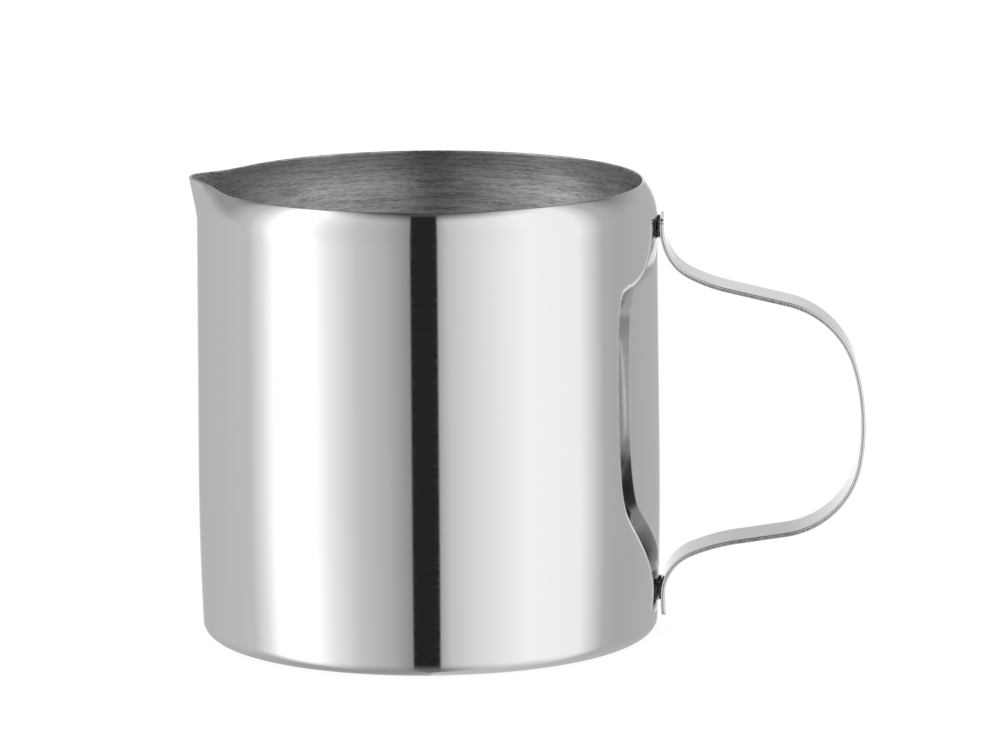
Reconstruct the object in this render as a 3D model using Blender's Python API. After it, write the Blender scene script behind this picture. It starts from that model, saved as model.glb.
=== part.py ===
"""A half-litre milk frothing pitcher in stainless steel.

One deep-drawn cup with a pressed pouring spout, and one flat strap bent into an open handle,
joined by four spot welds. Metres, +Z up. The origin is on the cup's axis at the face it stands
on, the spout points along -X and the handle along +X.
"""

import math

import bmesh
import bpy
from mathutils import Matrix, Vector

# Cup: one piece of sheet, straight sided, with an inward shoulder at the top
CUP_HEIGHT = 0.0879
WALL_RADIUS = 0.0442  # outside, where the straight wall meets the shoulder
SHEET = 0.0005
BASE_FILLET = 0.003
SHOULDER_RADIUS = 0.0104
SHOULDER_TURN = math.radians(42.3)
WALL_DRAFT = 0.0083  # the straight wall widens downwards by this share of its length
FOOT_HEIGHT = 0.034  # below this height the wall draws in again towards the base
FOOT_TUCK = 0.0009  # by this much, at the base

# Spout: the shoulder pressed outwards over a narrow arc of the rim
SPOUT_FOOT = 0.0815  # height at which the spout leaves the wall
SPOUT_REACH = 0.0457  # from the cup's axis to the tip of the lip
SPOUT_LIFT = 0.0008  # height of the tip above the rest of the rim
SPOUT_HALF_ANGLE = math.radians(32)
LIP_SHARPNESS = 8  # a higher power draws the lip out to a narrower point
LIFT_SHARPNESS = 2

# Strap handle: a flat strip, bent in the plane of the cup's axis
STRAP_WIDTH = 0.012
STRAP_THICKNESS = 0.0008
STRAP_CORNER = 0.0012  # corner radius of the strip's two ends
STRAP_EDGE_ROUND = 0.0002
STRAP_TOP = 0.08116  # height of the upper tab's end
WALL_GAP = 0.0004  # from the wall to the tabs, bridged by the welds
UPPER_ROOT = ((0.012, 28), (0.0092, 34), (0.030, 14.8))  # bend radius, turn in degrees
UPPER_ARM = 0.01192
GRIP = ((0.0175, -60.3), (0.0412, -26.8), (0.0169, -71.3))
LOWER_ROOT = ((0.0376, 14.4), (0.0086, 67.2))
UPPER_TAB = 0.0016
LOWER_TAB = 0.0018
LOWER_FLARE = (0.011, 12)

# Spot welds: a pair side by side on each tab
WELD_DIAMETER = 0.0038
WELD_SPACING = 0.0064
WELD_CLEARANCE = 0.00013  # to the wall on one side and the strap on the other
UPPER_WELD_HEIGHT = 0.079
LOWER_WELD_HEIGHT = 0.0084

# Fineness
TURN_STEPS = 90
FILLET_STEPS = 5
SHOULDER_STEPS = 7
WELD_STEPS = 24
BEND_STEP = math.radians(6)
FOOT_STATIONS = (0.12, 0.3, 0.55, 1.0)  # shares of the height over which the foot draws in
CORNER_STATIONS = (0.08, 0.3, 0.6)  # shares of the corner radius at the strip's ends
SHARP_EDGE = math.radians(30)
ROUNDED_EDGE = math.radians(50)

POLISHED_STEEL = ((0.80, 0.80, 0.81), 0.08)  # base colour, roughness
SATIN_STEEL = ((0.72, 0.72, 0.73), 0.30)
WELD_STEEL = ((0.50, 0.50, 0.52), 0.45)


def clear_scene():
    for obj in list(bpy.data.objects):
        bpy.data.objects.remove(obj, do_unlink=True)


def steel(name, finish):
    colour, roughness = finish
    material = bpy.data.materials.new(name)
    material.use_nodes = True
    shader = material.node_tree.nodes["Principled BSDF"]
    shader.inputs["Base Color"].default_value = (*colour, 1)
    shader.inputs["Metallic"].default_value = 1
    shader.inputs["Roughness"].default_value = roughness
    return material


def add_object(name, bm, material, parent):
    """Makes an object from the bmesh, shaded smooth, and hangs it on the parent."""
    bmesh.ops.recalc_face_normals(bm, faces=bm.faces)
    mesh = bpy.data.meshes.new(name)
    bm.to_mesh(mesh)
    bm.free()
    mesh.shade_smooth()
    mesh.set_sharp_from_angle(angle=SHARP_EDGE)
    mesh.materials.append(material)
    obj = bpy.data.objects.new(name, mesh)
    bpy.context.collection.objects.link(obj)
    obj.parent = parent
    return obj


# ---------------------------------------------------------------- cup

SHOULDER_FOOT = CUP_HEIGHT - SHOULDER_RADIUS * math.sin(SHOULDER_TURN)


def wall_radius(height):
    """Outside radius of the wall: a slight draft, drawn in again over the foot."""
    draft = WALL_DRAFT * (SHOULDER_FOOT - height)
    into_foot = max(0.0, FOOT_HEIGHT - height) / FOOT_HEIGHT
    return WALL_RADIUS + draft - FOOT_TUCK * into_foot**2


def arc(centre_r, centre_z, radius, start, end, steps):
    """Points on an arc in the (radius, height) plane, without its first point."""
    points = []
    for step in range(1, steps + 1):
        angle = start + (end - start) * step / steps
        points.append((centre_r + radius * math.cos(angle), centre_z + radius * math.sin(angle)))
    return points


def cup_profile():
    """The outside of the cup from the centre of the base to the rim, as (radius, height)."""
    foot_radius = wall_radius(BASE_FILLET)
    flat = foot_radius - BASE_FILLET
    points = [(0.0, 0.0), (flat / 2, 0.0), (flat, 0.0)]
    points += arc(flat, BASE_FILLET, BASE_FILLET, -math.pi / 2, 0, FILLET_STEPS)
    for share in FOOT_STATIONS:
        height = BASE_FILLET + (FOOT_HEIGHT - BASE_FILLET) * share
        points.append((wall_radius(height), height))
    points.append((wall_radius(SHOULDER_FOOT), SHOULDER_FOOT))
    shoulder_centre = WALL_RADIUS - SHOULDER_RADIUS
    points += arc(shoulder_centre, SHOULDER_FOOT, SHOULDER_RADIUS, 0, SHOULDER_TURN, SHOULDER_STEPS)
    return points


def press_spout(point):
    """Moves a point of the shoulder outwards and up, most on the -X side."""
    off_axis = abs(math.atan2(point.y, -point.x))
    if point.z <= SPOUT_FOOT or off_axis >= SPOUT_HALF_ANGLE:
        return point
    near_axis = math.cos(math.pi / 2 * off_axis / SPOUT_HALF_ANGLE)
    rise = (point.z - SPOUT_FOOT) / (CUP_HEIGHT - SPOUT_FOOT)
    start = wall_radius(SPOUT_FOOT)
    front = start + (SPOUT_REACH - start) * rise
    radius = math.hypot(point.x, point.y)
    scale = 1 + near_axis**LIP_SHARPNESS * (front / radius - 1)
    lift = near_axis**LIFT_SHARPNESS * rise * SPOUT_LIFT
    return Vector((point.x * scale, point.y * scale, point.z + lift))


def cup_body(material, parent):
    """The profile spun about the axis, its spout pressed out, and thickened inwards."""
    bm = bmesh.new()
    profile = [bm.verts.new((-radius, 0, height)) for radius, height in cup_profile()]
    edges = [bm.edges.new(pair) for pair in zip(profile, profile[1:])]
    bmesh.ops.spin(
        bm,
        geom=profile + edges,
        cent=(0, 0, 0),
        axis=(0, 0, 1),
        angle=2 * math.pi,
        steps=TURN_STEPS,
        use_merge=False,
    )
    bmesh.ops.remove_doubles(bm, verts=bm.verts, dist=1e-6)
    for vertex in bm.verts:
        vertex.co = press_spout(vertex.co)
    cup = add_object("cup_body", bm, material, parent)
    sheet = cup.modifiers.new("sheet", "SOLIDIFY")
    sheet.thickness = SHEET
    sheet.offset = -1
    sheet.use_even_offset = True
    sheet.use_quality_normals = True
    return cup


# ---------------------------------------------------------------- strap handle


class Route:
    """Stations along the strip's middle, drawn step by step like a bending plan."""

    def __init__(self, start, heading):
        self.place = start
        self.heading = heading
        self.length = 0.0
        self.stations = [(0.0, start, heading)]

    def add(self, run, place, heading):
        self.stations.append((self.length + run, place, heading))

    def straight(self, run):
        self.place = self.place + run * direction(self.heading)
        self.add(run, self.place, self.heading)
        self.length += run

    def bend(self, radius, degrees):
        """Turns by this angle, to the left where it is positive."""
        turn = math.radians(degrees)
        to_centre = math.copysign(radius, turn) * direction(self.heading + math.pi / 2)
        centre = self.place + to_centre
        steps = max(2, math.ceil(abs(turn) / BEND_STEP))
        for step in range(1, steps + 1):
            part = turn * step / steps
            place = centre - Matrix.Rotation(part, 2) @ to_centre
            self.add(abs(part) * radius, place, self.heading + part)
        self.place = place
        self.heading += turn
        self.length += abs(turn) * radius


def direction(heading):
    """Unit vector in the plane of the handle, (x, z)."""
    return Vector((math.cos(heading), math.sin(heading)))


def strap_route(lower_arm):
    """The strip's middle line from the end of the upper tab to the end of the lower one."""
    middle = wall_radius(UPPER_WELD_HEIGHT) + WALL_GAP + STRAP_THICKNESS / 2
    route = Route(Vector((middle, STRAP_TOP)), -math.pi / 2)
    route.straight(UPPER_TAB)
    for bend in UPPER_ROOT:
        route.bend(*bend)
    route.straight(UPPER_ARM)
    for bend in GRIP:
        route.bend(*bend)
    route.straight(lower_arm)
    for bend in LOWER_ROOT:
        route.bend(*bend)
    lower_middle = route.place.x
    route.straight(LOWER_TAB)
    route.bend(*LOWER_FLARE)
    return route, lower_middle


def finished_route():
    """The route whose lower arm is just long enough to bring the lower tab to the wall."""
    wanted = wall_radius(LOWER_WELD_HEIGHT) + WALL_GAP + STRAP_THICKNESS / 2
    _, unextended = strap_route(0.0)
    slope = math.radians(sum(turn for _, turn in LOWER_ROOT))
    route, _ = strap_route((unextended - wanted) / math.sin(slope))
    return route


def half_width(distance, total):
    """Half the strip's width at this distance along it, with rounded corners at both ends."""
    inside = min(distance, total - distance, STRAP_CORNER)
    from_corner = STRAP_CORNER - inside
    return STRAP_WIDTH / 2 - STRAP_CORNER + math.sqrt(STRAP_CORNER**2 - from_corner**2)


def with_end_stations(route):
    """Adds stations in the end corners, so that their rounding has points to follow."""
    stations = list(route.stations)
    (_, start, heading), (total, end, end_heading) = stations[0], stations[-1]
    for share in CORNER_STATIONS:
        inside = STRAP_CORNER * share
        stations.append((inside, start + inside * direction(heading), heading))
        stations.append((total - inside, end - inside * direction(end_heading), end_heading))
    return sorted(stations, key=lambda station: station[0]), total


def strap_handle(material, parent):
    """A rectangular section carried along the route and closed at both ends."""
    stations, total = with_end_stations(finished_route())
    bm = bmesh.new()
    rings = []
    for distance, place, heading in stations:
        outwards = direction(heading + math.pi / 2) * STRAP_THICKNESS / 2
        side = half_width(distance, total)
        corners = ((place + outwards, -side), (place + outwards, side))
        corners += ((place - outwards, side), (place - outwards, -side))
        rings.append([bm.verts.new((point.x, y, point.y)) for point, y in corners])
    for ring, following in zip(rings, rings[1:]):
        for corner in range(4):
            beside = (corner + 1) % 4
            bm.faces.new((ring[corner], ring[beside], following[beside], following[corner]))
    bm.faces.new(rings[0])
    bm.faces.new(rings[-1])
    strap = add_object("strap_handle", bm, material, parent)
    rounding = strap.modifiers.new("rounded_edges", "BEVEL")
    rounding.width = STRAP_EDGE_ROUND
    rounding.segments = 1
    rounding.limit_method = "ANGLE"
    rounding.angle_limit = ROUNDED_EDGE
    return strap


# ---------------------------------------------------------------- spot welds


def spot_weld(name, height, side, material, parent):
    """A thin round nugget of fused metal between the wall and the strap."""
    wall = wall_radius(height)
    thickness = WALL_GAP - 2 * WELD_CLEARANCE
    bm = bmesh.new()
    bmesh.ops.create_cone(
        bm,
        cap_ends=True,
        segments=WELD_STEPS,
        radius1=WELD_DIAMETER / 2,
        radius2=WELD_DIAMETER / 2,
        depth=thickness,
        matrix=Matrix.Rotation(math.pi / 2, 4, "Y"),
    )
    nugget = add_object(name, bm, material, parent)
    nugget.location = (wall + WALL_GAP / 2, side * WELD_SPACING / 2, height)
    return nugget


def build():
    clear_scene()
    pitcher = bpy.data.objects.new("frothing_pitcher", None)
    bpy.context.collection.objects.link(pitcher)
    cup_body(steel("polished_steel", POLISHED_STEEL), pitcher)
    strap_handle(steel("satin_steel", SATIN_STEEL), pitcher)
    weld_steel = steel("weld_steel", WELD_STEEL)
    for level, height in (("upper", UPPER_WELD_HEIGHT), ("lower", LOWER_WELD_HEIGHT)):
        for place, side in (("front", -1), ("back", 1)):
            spot_weld(f"{level}_spot_weld_{place}", height, side, weld_steel, pitcher)


build()
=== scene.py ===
import math

import bpy
import numpy as np
from mathutils import Matrix, Vector


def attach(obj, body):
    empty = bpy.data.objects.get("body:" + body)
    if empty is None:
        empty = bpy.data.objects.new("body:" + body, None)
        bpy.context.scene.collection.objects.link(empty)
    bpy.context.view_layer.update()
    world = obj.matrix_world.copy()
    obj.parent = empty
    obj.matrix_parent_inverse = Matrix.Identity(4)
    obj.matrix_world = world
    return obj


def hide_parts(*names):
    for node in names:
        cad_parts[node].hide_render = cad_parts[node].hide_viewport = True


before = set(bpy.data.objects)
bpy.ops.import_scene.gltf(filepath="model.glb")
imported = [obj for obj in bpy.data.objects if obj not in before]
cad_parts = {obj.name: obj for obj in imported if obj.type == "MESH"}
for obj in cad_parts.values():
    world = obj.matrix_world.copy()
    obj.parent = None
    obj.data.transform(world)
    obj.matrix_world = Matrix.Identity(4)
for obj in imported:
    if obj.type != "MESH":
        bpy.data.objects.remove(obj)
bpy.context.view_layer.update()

# Cup, with the shape of the CAD node
CUP_HEIGHT = 0.0879
WALL_RADIUS = 0.0442
SHEET = 0.0005
BASE_FILLET = 0.003
SHOULDER_RADIUS = 0.0104
SHOULDER_TURN = math.radians(42.3)
WALL_DRAFT = 0.0083
FOOT_HEIGHT = 0.034
FOOT_TUCK = 0.0009
SPOUT_FOOT = 0.0815
SPOUT_REACH = 0.0457
SPOUT_LIFT = 0.0008
SPOUT_HALF_ANGLE = math.radians(32)
LIP_SHARPNESS = 8
LIFT_SHARPNESS = 2
AROUND = 400  # steps round the cup
FILLET_STEPS = 18
WALL_STEPS = 30
SHOULDER_STEPS = 36
RIM_STEPS = 10

# Strap, along the same bends as the CAD node
STRAP_WIDTH = 0.012
STRAP_THICKNESS = 0.0008
STRAP_CORNER = 0.0012
EDGE_ROUND = 0.00034
STRAP_TOP = 0.08116
TAB_GAP = 0.0004
UPPER_WELD_HEIGHT = 0.079
LOWER_WELD_HEIGHT = 0.0084
UPPER_ROOT = ((0.012, 28), (0.0092, 34), (0.030, 14.8))
UPPER_ARM = 0.01192
GRIP = ((0.0175, -60.3), (0.0412, -26.8), (0.0169, -71.3))
LOWER_ROOT = ((0.0376, 14.4), (0.0086, 67.2))
UPPER_TAB = 0.0016
LOWER_TAB = 0.0018
LOWER_FLARE = (0.011, 12)
FACE_POINTS = 25  # across each face of the strip
EDGE_STEPS = 12  # round each edge
STATION_STEP = 0.0004
END_STATIONS = (0.00002, 0.00006, 0.00012, 0.0002, 0.0003, 0.0005, 0.0008)
WELD_SPACING = 0.0064
WELD_RADIUS = 0.0019
WELD_WAIST = 0.86  # narrowest radius, as a share of the radius at both ends
WELD_BITE = 0.00004  # how far the nugget sinks into the metal at each end
WELD_AROUND = 40
WELD_ROWS = 9

# Camera
CAMERA_TURN = math.radians(2.5)
CAMERA_TILT = math.radians(10.087)
CAMERA_ROLL = math.radians(-0.393)
CAMERA_DISTANCE = 1.2003
CAMERA_AIM = (0.01376, 0.04942)  # sideways from the cup's axis, and height
FOCAL_LENGTH = 224.47


# ---------------------------------------------------------------- mesh helpers


def mesh_object(name, points, faces, materials, face_materials=None, corner_uv=None):
    mesh = bpy.data.meshes.new(name)
    mesh.from_pydata([tuple(p) for p in points], [], faces)
    for material in materials:
        mesh.materials.append(material)
    if face_materials is not None:
        mesh.polygons.foreach_set("material_index", face_materials)
    if corner_uv is not None:
        mesh.uv_layers.new(name="UVMap").uv.foreach_set("vector", np.ravel(corner_uv))
    mesh.validate()
    mesh.shade_smooth()
    mesh.update()
    obj = bpy.data.objects.new(name, mesh)
    bpy.context.collection.objects.link(obj)
    return obj


# ---------------------------------------------------------------- cup

SHOULDER_FOOT = CUP_HEIGHT - SHOULDER_RADIUS * math.sin(SHOULDER_TURN)


def wall_radius(height):
    draft = WALL_DRAFT * (SHOULDER_FOOT - height)
    into_foot = max(0.0, FOOT_HEIGHT - height) / FOOT_HEIGHT
    return WALL_RADIUS + draft - FOOT_TUCK * into_foot**2


def outer_profile():
    """(radius, height) from near the centre of the base to the rim."""
    foot_radius = wall_radius(BASE_FILLET)
    flat = foot_radius - BASE_FILLET
    points = [(flat * share, 0.0) for share in (0.02, 0.3, 0.6, 0.85, 0.97, 1.0)]
    for step in range(1, FILLET_STEPS + 1):
        angle = -math.pi / 2 + math.pi / 2 * step / FILLET_STEPS
        points.append((flat + BASE_FILLET * math.cos(angle), BASE_FILLET * (1 + math.sin(angle))))
    for step in range(1, WALL_STEPS + 1):
        height = BASE_FILLET + (SHOULDER_FOOT - BASE_FILLET) * step / WALL_STEPS
        points.append((wall_radius(height), height))
    turn = SHOULDER_TURN - SHEET / 2 / SHOULDER_RADIUS
    for step in range(1, SHOULDER_STEPS + 1):
        angle = turn * step / SHOULDER_STEPS
        points.append(
            (
                WALL_RADIUS - SHOULDER_RADIUS * (1 - math.cos(angle)),
                SHOULDER_FOOT + SHOULDER_RADIUS * math.sin(angle),
            )
        )
    return np.array(points)


def pressed(points):
    """The same points with the spout pressed out on the -X side."""
    x, y, z = points[..., 0], points[..., 1], points[..., 2]
    off_axis = np.abs(np.arctan2(y, -x))
    near = np.cos(np.pi / 2 * np.clip(off_axis / SPOUT_HALF_ANGLE, 0, 1))
    rise = np.clip((z - SPOUT_FOOT) / (CUP_HEIGHT - SPOUT_FOOT), 0, None)
    start = wall_radius(SPOUT_FOOT)
    front = start + (SPOUT_REACH - start) * rise
    radius = np.hypot(x, y)
    scale = np.where(rise > 0, 1 + near**LIP_SHARPNESS * (front / radius - 1), 1)
    lift = near**LIFT_SHARPNESS * rise * SPOUT_LIFT
    return np.stack([x * scale, y * scale, z + lift], -1)


def grid_normals(grid):
    """Unit normals of a grid of points, rows along the profile and columns round the axis."""
    along = np.gradient(grid, axis=0)
    around = np.roll(grid, -1, axis=1) - np.roll(grid, 1, axis=1)
    normals = np.cross(around, along)
    return normals / np.linalg.norm(normals, axis=-1, keepdims=True), along


def build_cup(polished, brushed):
    profile = outer_profile()
    angles = np.arange(AROUND) * 2 * np.pi / AROUND
    outside = np.empty((len(profile), AROUND, 3))
    outside[..., 0] = profile[:, :1] * np.cos(angles)
    outside[..., 1] = profile[:, :1] * np.sin(angles)
    outside[..., 2] = profile[:, 1:]
    outside = pressed(outside)
    normals, along = grid_normals(outside)
    inside = outside - SHEET * normals
    tangent = along[-1] / np.linalg.norm(along[-1], axis=-1, keepdims=True)
    rim = []
    for step in range(1, RIM_STEPS):
        turn = math.pi * step / RIM_STEPS
        rim.append(
            outside[-1]
            + SHEET / 2 * (-normals[-1] + normals[-1] * math.cos(turn) + tangent * math.sin(turn))
        )
    rows = np.concatenate([outside, np.array(rim), inside[::-1]])
    count = len(rows)
    points = rows.reshape(-1, 3)
    faces = []
    kinds = []
    edge = len(outside) + len(rim) // 2
    for row in range(count - 1):
        for column in range(AROUND):
            beside = (column + 1) % AROUND
            a, b = row * AROUND + column, row * AROUND + beside
            c, d = (row + 1) * AROUND + beside, (row + 1) * AROUND + column
            faces.append((a, b, c, d))
            kinds.append(0 if row < edge else 1)
    faces.append(tuple(reversed(range(AROUND))))
    kinds.append(0)
    faces.append(tuple(range((count - 1) * AROUND, count * AROUND)))
    kinds.append(1)
    return mesh_object("pitcher_cup", points, faces, [polished, brushed], kinds)


# ---------------------------------------------------------------- strap


def direction(heading):
    return np.array([math.cos(heading), math.sin(heading)])


def route(lower_arm, spacing):
    """Stations along the strip's middle: (distance, x, z, heading)."""
    middle = wall_radius(UPPER_WELD_HEIGHT) + TAB_GAP + STRAP_THICKNESS / 2
    place = np.array([middle, STRAP_TOP])
    heading = -math.pi / 2
    length = 0.0
    stations = [(length, place, heading)]
    plan = [("straight", UPPER_TAB)] + [("bend", bend) for bend in UPPER_ROOT]
    plan += [("straight", UPPER_ARM)] + [("bend", bend) for bend in GRIP]
    plan += [("straight", lower_arm)] + [("bend", bend) for bend in LOWER_ROOT]
    plan += [("straight", LOWER_TAB), ("bend", LOWER_FLARE)]
    for kind, size in plan:
        if kind == "straight":
            steps = max(1, math.ceil(abs(size) / spacing))
            for step in range(1, steps + 1):
                run = size * step / steps
                stations.append((length + run, place + run * direction(heading), heading))
            place = place + size * direction(heading)
            length += size
            continue
        radius, turn = size[0], math.radians(size[1])
        to_centre = math.copysign(radius, turn) * direction(heading + math.pi / 2)
        centre = place + to_centre
        steps = max(2, math.ceil(abs(turn) * radius / spacing))
        for step in range(1, steps + 1):
            part = turn * step / steps
            cos, sin = math.cos(part), math.sin(part)
            arm = np.array(
                [cos * to_centre[0] - sin * to_centre[1], sin * to_centre[0] + cos * to_centre[1]]
            )
            stations.append((length + abs(part) * radius, centre - arm, heading + part))
        place = centre - arm
        heading += turn
        length += abs(turn) * radius
    return stations


def finished_route(spacing):
    wanted = wall_radius(LOWER_WELD_HEIGHT) + TAB_GAP + STRAP_THICKNESS / 2
    slope = math.radians(sum(turn for _, turn in LOWER_ROOT))
    trial = route(0.0, spacing)
    tail = 1 + max(1, math.ceil(LOWER_TAB / spacing))
    flare = max(2, math.ceil(abs(math.radians(LOWER_FLARE[1])) * LOWER_FLARE[0] / spacing))
    unextended = trial[-(flare + tail)][1][0]
    return route((unextended - wanted) / math.sin(slope), spacing)


def section(half_width, half_thickness, edge):
    """(across, proud) round the strip: two flat faces and two rounded edges."""
    edge = min(edge, half_thickness)
    flat = half_width - edge
    across = np.linspace(-flat, flat, FACE_POINTS)
    points = []
    for side in (1, -1):
        points += [(side * place, side * half_thickness) for place in across]
        for step in range(1, EDGE_STEPS):
            turn = math.pi * step / EDGE_STEPS
            square = np.sign(round(math.cos(turn), 6)) * (half_thickness - edge)
            points.append((side * (flat + edge * math.sin(turn)), side * (edge * math.cos(turn) + square)))
    return points


def build_strap(outer_steel, edge_steel, inner_shaded_steel):
    stations = finished_route(STATION_STEP)
    total = stations[-1][0]
    extra = []
    for inside in END_STATIONS:
        first, last = stations[0], stations[-1]
        extra.append((inside, first[1] + inside * direction(first[2]), first[2]))
        extra.append((total - inside, last[1] - inside * direction(last[2]), last[2]))
    stations = sorted(stations + extra, key=lambda station: station[0])
    rings = []
    for distance, place, heading in stations:
        inside = min(distance, total - distance)
        corner = STRAP_CORNER - min(inside, STRAP_CORNER)
        half_width = STRAP_WIDTH / 2 - STRAP_CORNER + math.sqrt(STRAP_CORNER**2 - corner**2)
        edge = EDGE_ROUND - min(inside, EDGE_ROUND)
        half = STRAP_THICKNESS / 2 - EDGE_ROUND + math.sqrt(EDGE_ROUND**2 - edge**2)
        out = direction(heading + math.pi / 2)
        rings.append(
            [
                (place[0] + out[0] * proud, across, place[1] + out[1] * proud)
                for across, proud in section(half_width, half, EDGE_ROUND)
            ]
        )
    size = len(rings[0])
    around = np.array(section(STRAP_WIDTH / 2, STRAP_THICKNESS / 2, EDGE_ROUND))
    steps = np.linalg.norm(np.diff(around, axis=0, append=around[:1]), axis=1)
    girth = np.concatenate([[0], np.cumsum(steps)])
    points = [point for ring in rings for point in ring]
    faces = []
    kinds = []
    corner_uv = []
    for row in range(len(rings) - 1):
        start, end = stations[row][0], stations[row + 1][0]
        for k in range(size):
            beside = (k + 1) % size
            a, b = row * size + k, row * size + beside
            c, d = (row + 1) * size + beside, (row + 1) * size + k
            faces.append((a, b, c, d))
            corner_uv += [
                (start, girth[k]),
                (start, girth[k + 1]),
                (end, girth[k + 1]),
                (end, girth[k]),
            ]
            side, place = divmod(k, size // 2)
            kinds.append(1 if place >= FACE_POINTS - 1 else 2 * side)
    faces.append(tuple(reversed(range(size))))
    faces.append(tuple(range((len(rings) - 1) * size, len(rings) * size)))
    kinds += [1, 1]
    corner_uv += [(0.0, girth[k]) for k in reversed(range(size))]
    corner_uv += [(total, girth[k]) for k in range(size)]
    materials = [outer_steel, edge_steel, inner_shaded_steel]
    return mesh_object("pitcher_strap", points, faces, materials, kinds, corner_uv)


# ---------------------------------------------------------------- welds


def build_weld(name, height, side, metal):
    """A round nugget with a drawn-in waist, filling the gap behind a tab."""
    wall = wall_radius(height)
    steps, rows = WELD_AROUND, WELD_ROWS
    points = []
    for row in range(rows):
        share = row / (rows - 1)
        radius = WELD_RADIUS * (WELD_WAIST + (1 - WELD_WAIST) * (2 * share - 1) ** 2)
        x = wall - WELD_BITE + (TAB_GAP + 2 * WELD_BITE) * share
        for step in range(steps):
            angle = 2 * math.pi * step / steps
            points.append(
                (
                    x,
                    side * WELD_SPACING / 2 + radius * math.cos(angle),
                    height + radius * math.sin(angle),
                )
            )
    faces = []
    for row in range(rows - 1):
        for step in range(steps):
            beside = (step + 1) % steps
            faces.append(
                (
                    row * steps + step,
                    row * steps + beside,
                    (row + 1) * steps + beside,
                    (row + 1) * steps + step,
                )
            )
    faces.append(tuple(reversed(range(steps))))
    faces.append(tuple(range((rows - 1) * steps, rows * steps)))
    return mesh_object(name, points, faces, [metal])


# ---------------------------------------------------------------- materials


POLISH = 0.9  # share of light that the polished steel returns


class Nodes:
    """Short calls for building a node tree."""

    def __init__(self, tree):
        self.tree = tree
        tree.nodes.clear()

    def add(self, kind, **settings):
        node = self.tree.nodes.new(kind)
        for key, value in settings.items():
            setattr(node, key, value)
        return node

    def link(self, source, target):
        self.tree.links.new(source, target)

    def math(self, operation, *values, clamp=False):
        node = self.add("ShaderNodeMath", operation=operation, use_clamp=clamp)
        for socket, value in zip(node.inputs, values):
            if isinstance(value, (int, float)):
                socket.default_value = value
            else:
                self.link(value, socket)
        return node.outputs[0]

    def smooth(self, value, low, high, to_low=0.0, to_high=1.0, kind="SMOOTHSTEP"):
        node = self.add("ShaderNodeMapRange", interpolation_type=kind)
        self.link(value, node.inputs["Value"])
        node.inputs["From Min"].default_value = low
        node.inputs["From Max"].default_value = high
        node.inputs["To Min"].default_value = to_low
        node.inputs["To Max"].default_value = to_high
        return node.outputs[0]

    def noise(self, vector, scale, detail=2.0, roughness=0.5):
        node = self.add("ShaderNodeTexNoise")
        self.link(vector, node.inputs["Vector"])
        node.inputs["Scale"].default_value = scale
        node.inputs["Detail"].default_value = detail
        node.inputs["Roughness"].default_value = roughness
        return node.outputs["Fac"]


def stretched(nodes, size):
    """Object coordinates divided by a grain size along each axis."""
    coordinates = nodes.add("ShaderNodeTexCoord").outputs["Object"]
    mapping = nodes.add("ShaderNodeMapping")
    nodes.link(coordinates, mapping.inputs["Vector"])
    mapping.inputs["Scale"].default_value = [1 / s for s in size]
    return mapping.outputs[0]


def round_the_axis(nodes, around, across):
    """Grain that runs round the cup's axis, on the wall and in rings on the base alike."""
    split = nodes.add("ShaderNodeSeparateXYZ")
    nodes.link(nodes.add("ShaderNodeTexCoord").outputs["Object"], split.inputs[0])
    x, y, z = split.outputs
    squares = nodes.math("ADD", nodes.math("MULTIPLY", x, x), nodes.math("MULTIPLY", y, y))
    rise = nodes.math("SUBTRACT", z, nodes.math("SQRT", squares))
    place = nodes.add("ShaderNodeCombineXYZ")
    nodes.link(nodes.math("MULTIPLY", x, 1 / around), place.inputs[0])
    nodes.link(nodes.math("MULTIPLY", y, 1 / around), place.inputs[1])
    nodes.link(nodes.math("MULTIPLY", rise, 1 / across), place.inputs[2])
    return place.outputs[0]


def new_steel(name, colour, roughness, anisotropy=0.0):
    material = bpy.data.materials.new(name)
    material.use_nodes = True
    nodes = Nodes(material.node_tree)
    output = nodes.add("ShaderNodeOutputMaterial")
    shader = nodes.add("ShaderNodeBsdfPrincipled")
    nodes.link(shader.outputs[0], output.inputs["Surface"])
    shader.inputs["Base Color"].default_value = (*colour, 1)
    shader.inputs["Metallic"].default_value = 1
    shader.inputs["Roughness"].default_value = roughness
    shader.inputs["Anisotropic"].default_value = anisotropy
    return material, nodes, shader


def polished_steel():
    """Mirror polish with faint polishing lines round the cup."""
    material, nodes, shader = new_steel("polished_steel", (POLISH,) * 3, 0.05)
    lines = nodes.noise(round_the_axis(nodes, 0.02, 0.00035), 1.0, 3)
    nodes.link(nodes.smooth(lines, 0.3, 0.7, 0.03, 0.075), shader.inputs["Roughness"])
    bump = nodes.add("ShaderNodeBump")
    bump.inputs["Strength"].default_value = 0.04
    bump.inputs["Distance"].default_value = 0.00002
    nodes.link(lines, bump.inputs["Height"])
    nodes.link(bump.outputs[0], shader.inputs["Normal"])
    return material


def brushed_steel():
    """Brushed round the axis, with visible scratches of mixed length."""
    material, nodes, shader = new_steel("brushed_steel", (0.8, 0.8, 0.8), 0.4, 1.0)
    shader.inputs["Anisotropic Rotation"].default_value = 0.25
    fine = nodes.noise(round_the_axis(nodes, 0.0016, 0.00014), 1.0, 3, 0.65)
    broad = nodes.noise(round_the_axis(nodes, 0.008, 0.0007), 1.0, 2)
    both = nodes.math("MULTIPLY_ADD", broad, 0.5, fine)
    tint = nodes.smooth(both, 0.54, 0.9, 0.46, 1.0)
    nodes.link(tint, shader.inputs["Base Color"])
    bump = nodes.add("ShaderNodeBump")
    bump.inputs["Strength"].default_value = 0.4
    bump.inputs["Distance"].default_value = 0.0001
    nodes.link(both, bump.inputs["Height"])
    nodes.link(bump.outputs[0], shader.inputs["Normal"])
    tangent = nodes.add("ShaderNodeTangent", direction_type="RADIAL", axis="Z")
    nodes.link(tangent.outputs[0], shader.inputs["Tangent"])
    return material


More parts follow.
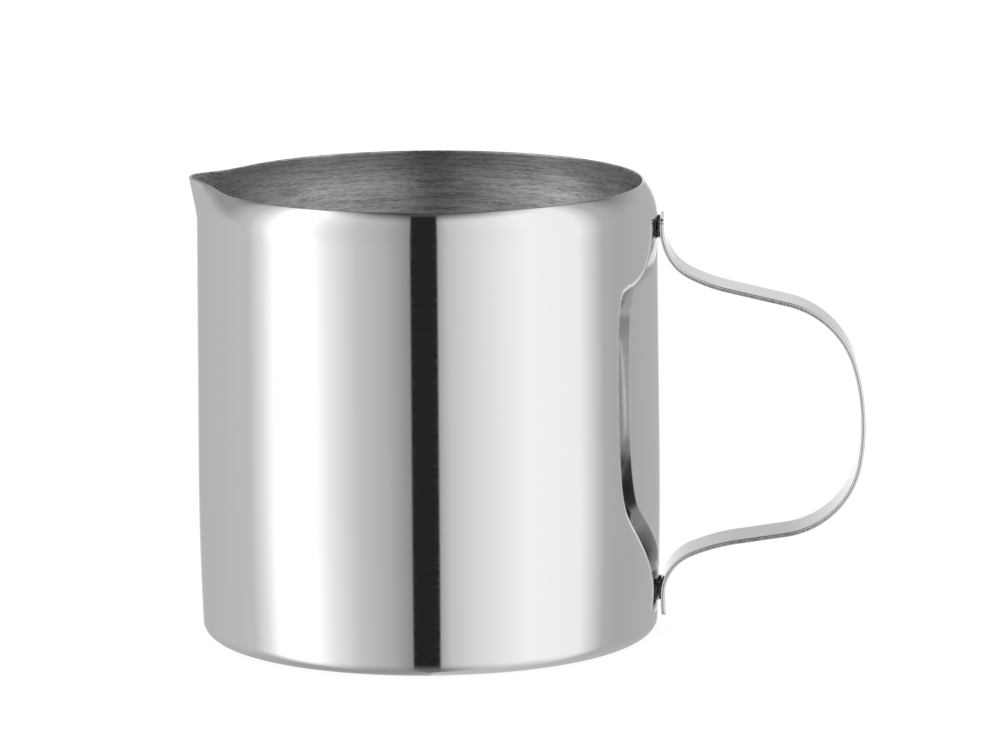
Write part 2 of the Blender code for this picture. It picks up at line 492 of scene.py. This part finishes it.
def along_strip(nodes, size):
    """Distance along the strip and round its section, divided by a grain size for each."""
    place = nodes.add("ShaderNodeUVMap", uv_map="UVMap").outputs["UV"]
    mapping = nodes.add("ShaderNodeMapping")
    nodes.link(place, mapping.inputs["Vector"])
    mapping.inputs["Scale"].default_value = (1 / size[0], 1 / size[1], 1)
    return mapping.outputs[0]


def strap_steel(name, colour, roughness):
    """Rolled strip, tumbled to a soft shine, with faint lines along it. A darker colour passed in paints
    shade, as on the strip's inner face.
    """
    material, nodes, shader = new_steel(name, (colour,) * 3, roughness)
    lines = nodes.noise(along_strip(nodes, (0.012, 0.0004)), 1.0, 3, 0.6)
    nodes.link(nodes.smooth(lines, 0.3, 0.7, 0.8 * roughness, 1.25 * roughness), shader.inputs["Roughness"])
    bump = nodes.add("ShaderNodeBump")
    bump.inputs["Strength"].default_value = 0.1
    bump.inputs["Distance"].default_value = 0.00001
    nodes.link(lines, bump.inputs["Height"])
    nodes.link(bump.outputs[0], shader.inputs["Normal"])
    return material


def edge_steel():
    """The strip's sheared edge: tumbled smooth, with the shear's marks across it."""
    material, nodes, shader = new_steel("edge_steel", (0.9, 0.9, 0.9), 0.26)
    marks = nodes.noise(along_strip(nodes, (0.00032, 0.0012)), 1.0, 2, 0.5)
    nodes.link(nodes.smooth(marks, 0.35, 0.65, 0.2, 0.36), shader.inputs["Roughness"])
    bump = nodes.add("ShaderNodeBump")
    bump.inputs["Strength"].default_value = 0.6
    bump.inputs["Distance"].default_value = 0.00005
    nodes.link(marks, bump.inputs["Height"])
    nodes.link(bump.outputs[0], shader.inputs["Normal"])
    return material


def weld_steel():
    # The dark grey base colour (0.25) is painted shade: it stands for the shade in the narrow gap behind
    # each tab, where the nuggets sit.
    material, nodes, shader = new_steel("weld_steel", (0.25, 0.25, 0.26), 0.45)
    scale = nodes.noise(stretched(nodes, (0.0006, 0.0006, 0.0006)), 1.0, 4)
    nodes.link(nodes.smooth(scale, 0.3, 0.7, 0.35, 0.6), shader.inputs["Roughness"])
    bump = nodes.add("ShaderNodeBump")
    bump.inputs["Strength"].default_value = 0.2
    bump.inputs["Distance"].default_value = 0.00005
    nodes.link(scale, bump.inputs["Height"])
    nodes.link(bump.outputs[0], shader.inputs["Normal"])
    return material


# ---------------------------------------------------------------- studio


def grey(tone):
    """Linear radiance of a displayed grey from 0 to 255."""
    return (tone / 255) ** 2.2


# The light tent. Directions are in degrees, azimuth from the camera and negative to its left,
# and tones are the greys from 0 to 255 that polished steel shows of them.
PANELS = (
    (-180, 175),  # dim wall behind, on the left
    (-150, 175),
    (-100, 185),
    (-90, 220),
    (-77, 280),  # bright left panel
    (-66, 280),
    (-50, 230),
    (-35, 190),
    (-20, 170),
    (-8, 135),
    (5, 160),
    (10, 190),
    (25, 215),
    (50, 240),  # broad right panel
    (80, 235),
    (97, 170),  # dim wall behind, on the right
    (110, 165),
    (180, 175),
)
TABLE = ((-180, 150), (-25, 140), (-6, 105), (8, 105), (40, 180), (180, 185))
PANEL_LEAN = (0.24, 0.18)  # how far the left and right panels lean back with height
PANEL_FOOT = (-75, -16)  # elevation where the panels end and the table shows
BEHIND = (100, 125)  # azimuth over which the lower panels behind take over
DIM_START = ((6, 18), (9, 32))  # elevation where the panels behind end, left and right
DIM_LEVEL = 0.62
BACK_TOP = (24, 44)  # elevation over which the back of the tent darkens further
BACK_TOP_LEVEL = 0.15
OVERHEAD = (50, 74)  # elevation over which the whole tent darkens
OVERHEAD_LEVEL = 0.12
BACKDROP_EDGE = (162, 176)  # azimuth on both sides over which the white backdrop starts
BACKDROP_FADE = (-2, 20)  # elevation over which it falls from full to dim
BACKDROP_LEVEL = (1.15, 0.36)
BACKDROP_TOP = (12, 18)
SLIT = (-8.6, 4.8)  # the dark gap that the camera looks through
SLIT_SOFTNESS = 0.5
SLIT_TONE = 38
SLIT_TOP = (62, 70)
SLIT_TOP_TONE = 76
CAMERA_SIDE = math.radians(3.2)  # azimuth of the camera from the cup
WHITE_LEVEL = 1.12  # what the camera and diffuse light see all round


def tone_ramp(nodes, azimuth, stops):
    """Radiance by azimuth in degrees, from displayed greys."""
    ramp = nodes.add("ShaderNodeValToRGB")
    nodes.link(nodes.math("MULTIPLY_ADD", azimuth, 1 / 360, 0.5), ramp.inputs[0])
    elements = ramp.color_ramp.elements
    elements.remove(elements[1])
    brightest = max(grey(tone) for _, tone in stops)
    for number, (angle, tone) in enumerate(stops):
        place = angle / 360 + 0.5
        stop = elements[0] if number == 0 else elements.new(place)
        stop.position = place
        level = grey(tone) / brightest
        stop.color = (level, level, level, 1)
    return nodes.math("MULTIPLY", ramp.outputs[0], brightest / POLISH)


def blend(nodes, share, first, second):
    mix = nodes.add("ShaderNodeMix", data_type="FLOAT")
    for socket, value in zip(("Factor", "A", "B"), (share, first, second)):
        if isinstance(value, (int, float)):
            mix.inputs[socket].default_value = value
        else:
            nodes.link(value, mix.inputs[socket])
    return mix.outputs[0]


def build_world():
    world = bpy.data.worlds.new("light_tent")
    bpy.context.scene.world = world
    world.use_nodes = True
    world.cycles.sampling_method = "NONE"
    nodes = Nodes(world.node_tree)
    ray = nodes.add("ShaderNodeTexCoord").outputs["Generated"]
    turned = nodes.add("ShaderNodeVectorRotate", rotation_type="Z_AXIS")
    nodes.link(ray, turned.inputs["Vector"])
    turned.inputs["Angle"].default_value = -CAMERA_SIDE
    split = nodes.add("ShaderNodeSeparateXYZ")
    nodes.link(turned.outputs[0], split.inputs[0])
    x, y, z = split.outputs
    forward = nodes.math("MULTIPLY", y, -1)
    elevation = nodes.math("DEGREES", nodes.math("ARCSINE", z))

    lean = nodes.smooth(x, -0.2, 0.4, PANEL_LEAN[0], PANEL_LEAN[1])
    leaning = nodes.math("MULTIPLY_ADD", nodes.math("MAXIMUM", z, 0.0), lean, forward)
    azimuth = nodes.math("DEGREES", nodes.math("ARCTAN2", x, leaning))
    tent = tone_ramp(nodes, azimuth, PANELS)

    # the panels behind stand lower than those in front, and the tent is dim above them
    behind = nodes.smooth(nodes.math("ABSOLUTE", azimuth), *BEHIND)
    ends = [nodes.smooth(elevation, *start, 1.0, DIM_LEVEL) for start in DIM_START]
    panel_end = blend(nodes, nodes.smooth(x, -0.1, 0.1), *ends)
    back_top = nodes.smooth(elevation, *BACK_TOP, 1.0, BACK_TOP_LEVEL)
    dim = nodes.math("MULTIPLY", panel_end, back_top)
    tent = nodes.math("MULTIPLY", tent, blend(nodes, behind, 1.0, dim))
    backdrop_tone = nodes.smooth(elevation, *BACKDROP_FADE, *BACKDROP_LEVEL, "LINEAR")
    flat_turn = nodes.math("ABSOLUTE", nodes.math("DEGREES", nodes.math("ARCTAN2", x, forward)))
    backdrop_top = nodes.smooth(elevation, *BACKDROP_TOP, 1.0, 0.0)
    backdrop = nodes.math("MULTIPLY", nodes.smooth(flat_turn, *BACKDROP_EDGE), backdrop_top)
    tent = blend(nodes, backdrop, tent, backdrop_tone)
    tent = nodes.math("MULTIPLY", tent, nodes.smooth(elevation, *OVERHEAD, 1.0, OVERHEAD_LEVEL))

    # the gap runs straight up between the front panels
    half_turn = nodes.math("ARCTAN2", x, nodes.math("ADD", forward, math.cos(CAMERA_TILT)))
    across = nodes.math("MULTIPLY", nodes.math("DEGREES", half_turn), 2.0)
    left = nodes.smooth(across, SLIT[0] - SLIT_SOFTNESS, SLIT[0] + SLIT_SOFTNESS)
    right = nodes.smooth(across, SLIT[1] - SLIT_SOFTNESS, SLIT[1] + SLIT_SOFTNESS, 1.0, 0.0)
    front = nodes.smooth(forward, 0.0, 0.15)
    slit = nodes.math("MULTIPLY", nodes.math("MULTIPLY", left, right), front)
    slit_tones = [grey(tone) / POLISH for tone in (SLIT_TONE, SLIT_TOP_TONE)]
    slit_level = nodes.smooth(elevation, *SLIT_TOP, *slit_tones)
    tent = blend(nodes, slit, tent, slit_level)

    table = tone_ramp(nodes, azimuth, TABLE)
    tent = blend(nodes, nodes.smooth(elevation, *PANEL_FOOT), table, tent)

    path = nodes.add("ShaderNodeLightPath")
    seen = nodes.math("MAXIMUM", path.outputs["Is Camera Ray"], path.outputs["Is Diffuse Ray"])
    background = nodes.add("ShaderNodeBackground")
    background.inputs["Color"].default_value = (1, 1, 1, 1)
    nodes.link(blend(nodes, seen, tent, WHITE_LEVEL), background.inputs["Strength"])
    output = nodes.add("ShaderNodeOutputWorld")
    nodes.link(background.outputs[0], output.inputs["Surface"])


def build_floor():
    mesh = bpy.data.meshes.new("floor")
    reach = 6.0  # metres each way from the cup
    mesh.from_pydata(
        [(-reach, -reach, 0), (reach, -reach, 0), (reach, reach, 0), (-reach, reach, 0)],
        [],
        [(0, 1, 2, 3)],
    )
    floor = bpy.data.objects.new("floor", mesh)
    bpy.context.collection.objects.link(floor)
    material = bpy.data.materials.new("floor")
    material.use_nodes = True
    shader = material.node_tree.nodes["Principled BSDF"]
    shader.inputs["Base Color"].default_value = (0.14, 0.14, 0.14, 1)
    shader.inputs["Roughness"].default_value = 1
    shader.inputs["Specular IOR Level"].default_value = 0
    shader.inputs["Emission Color"].default_value = (1, 1, 1, 1)
    shader.inputs["Emission Strength"].default_value = 0.9
    mesh.materials.append(material)
    floor.visible_glossy = False


def build_camera():
    data = bpy.data.cameras.new("camera")
    data.sensor_width = 36
    data.lens = FOCAL_LENGTH
    data.clip_start = 0.05
    data.clip_end = 50
    camera = bpy.data.objects.new("camera", data)
    bpy.context.collection.objects.link(camera)
    turn = Matrix.Rotation(CAMERA_TURN, 3, "Z")
    forward = turn @ Vector((0, math.cos(CAMERA_TILT), -math.sin(CAMERA_TILT)))
    aim = turn @ Vector((CAMERA_AIM[0], 0, CAMERA_AIM[1]))
    level = turn @ Vector((1, 0, 0))
    up = level.cross(forward)
    right = math.cos(CAMERA_ROLL) * level + math.sin(CAMERA_ROLL) * up
    top = -math.sin(CAMERA_ROLL) * level + math.cos(CAMERA_ROLL) * up
    place = Matrix((right, top, -forward)).transposed().to_4x4()
    place.translation = aim - CAMERA_DISTANCE * forward
    camera.matrix_world = place
    bpy.context.scene.camera = camera


def place_piece(piece, slot, *nodes):
    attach(piece, "root")
    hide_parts(*nodes)


bpy.context.scene.view_settings.view_transform = "Standard"
build_camera()
build_world()
build_floor()
place_piece(build_cup(polished_steel(), brushed_steel()), "polished_steel", "cup_body")
# The inner face, which looks at the cup, is the same steel with a darker base colour (0.66 against 0.86
# outside): painted shade between the strap and the cup.
strap = build_strap(
    strap_steel("strap_outer", 0.86, 0.1), edge_steel(), strap_steel("strap_inner_painted_shade", 0.66, 0.14)
)
place_piece(strap, "satin_steel", "strap_handle")
# The weld nuggets get the steel with the painted shade of the gap behind the tabs.
metal = weld_steel()
for level, height in (("upper", UPPER_WELD_HEIGHT), ("lower", LOWER_WELD_HEIGHT)):
    for where, side in (("front", -1), ("back", 1)):
        nugget = build_weld(f"{level}_weld_{where}", height, side, metal)
        place_piece(nugget, "weld_steel", f"{level}_spot_weld_{where}")
